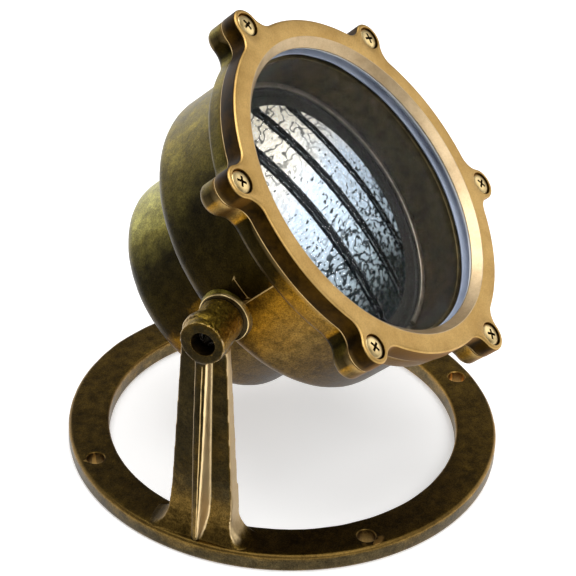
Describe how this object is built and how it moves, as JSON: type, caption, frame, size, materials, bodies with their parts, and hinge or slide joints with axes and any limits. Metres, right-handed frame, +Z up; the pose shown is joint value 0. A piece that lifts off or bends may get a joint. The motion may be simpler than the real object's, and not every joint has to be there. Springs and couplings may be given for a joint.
{
  "type": "underwater pond light",
  "caption": "Cast brass underwater spot light with a round glass window, tilting between two arms on an open round base ring.",
  "frame": {"origin": "centre of the base ring's underside", "axes": "+Z up, the lamp tilts about X and faces -Y and upwards at rest"},
  "size_m": [0.2032, 0.2032, 0.2121],
  "materials": {
    "cast_brass": "sand cast, darkened olive-brown patina with brighter worn edges",
    "machined_brass": "satin machined, slightly uneven golden tone",
    "bright_brass": "pale polished brass fasteners",
    "steel": "stainless, lightly worn",
    "clear_glass": "clear flat tempered glass",
    "lens_glass": "pressed glass with stippled bands and dark ribs",
    "silvered_glass": "silvered reflector bowl",
    "silicone": "translucent bluish white silicone",
    "black_rubber": "matte black rubber"
  },
  "bodies": {
    "base": {"base_ring": "cast_brass", "left_arm": "cast_brass", "right_arm": "cast_brass", "left_pivot_washer": "bright_brass", "right_pivot_washer": "bright_brass"},
    "head": {"housing": "cast_brass", "bezel_ring": "machined_brass", "window_glass": "clear_glass", "window_gasket": "silicone", "lamp_snap_ring": "steel", "lamp_boot": "black_rubber", "lamp_lens": "lens_glass", "lamp_reflector": "silvered_glass", "lamp_capsule": "clear_glass", "lamp_terminal_1": "bright_brass", "lamp_terminal_2": "bright_brass", "earth_screw": "bright_brass", "gland_washer": "black_rubber", "gland_body": "machined_brass", "gland_seal": "black_rubber", "gland_nut": "machined_brass", "bezel_screw_1": "bright_brass", "bezel_screw_2": "bright_brass", "bezel_screw_3": "bright_brass", "bezel_screw_4": "bright_brass", "bezel_screw_5": "bright_brass", "bezel_screw_6": "bright_brass"},
    "left_lock_screw": {"left_lock_screw": "steel"},
    "right_lock_screw": {"right_lock_screw": "steel"}
  },
  "joints": [
    {"name": "head_tilt", "type": "hinge", "parent": "base", "child": "head", "pos_m": [0, 0, 0.1098], "axis": [-1, 0, 0], "range_deg": [-64, 116]},
    {"name": "left_lock_turn", "type": "hinge", "parent": "base", "child": "left_lock_screw", "pos_m": [-0.088, 0, 0.1098], "axis": [-1, 0, 0], "range_deg": [0, 180]},
    {"name": "right_lock_turn", "type": "hinge", "parent": "base", "child": "right_lock_screw", "pos_m": [0.088, 0, 0.1098], "axis": [1, 0, 0], "range_deg": [0, 180]}
  ]
}
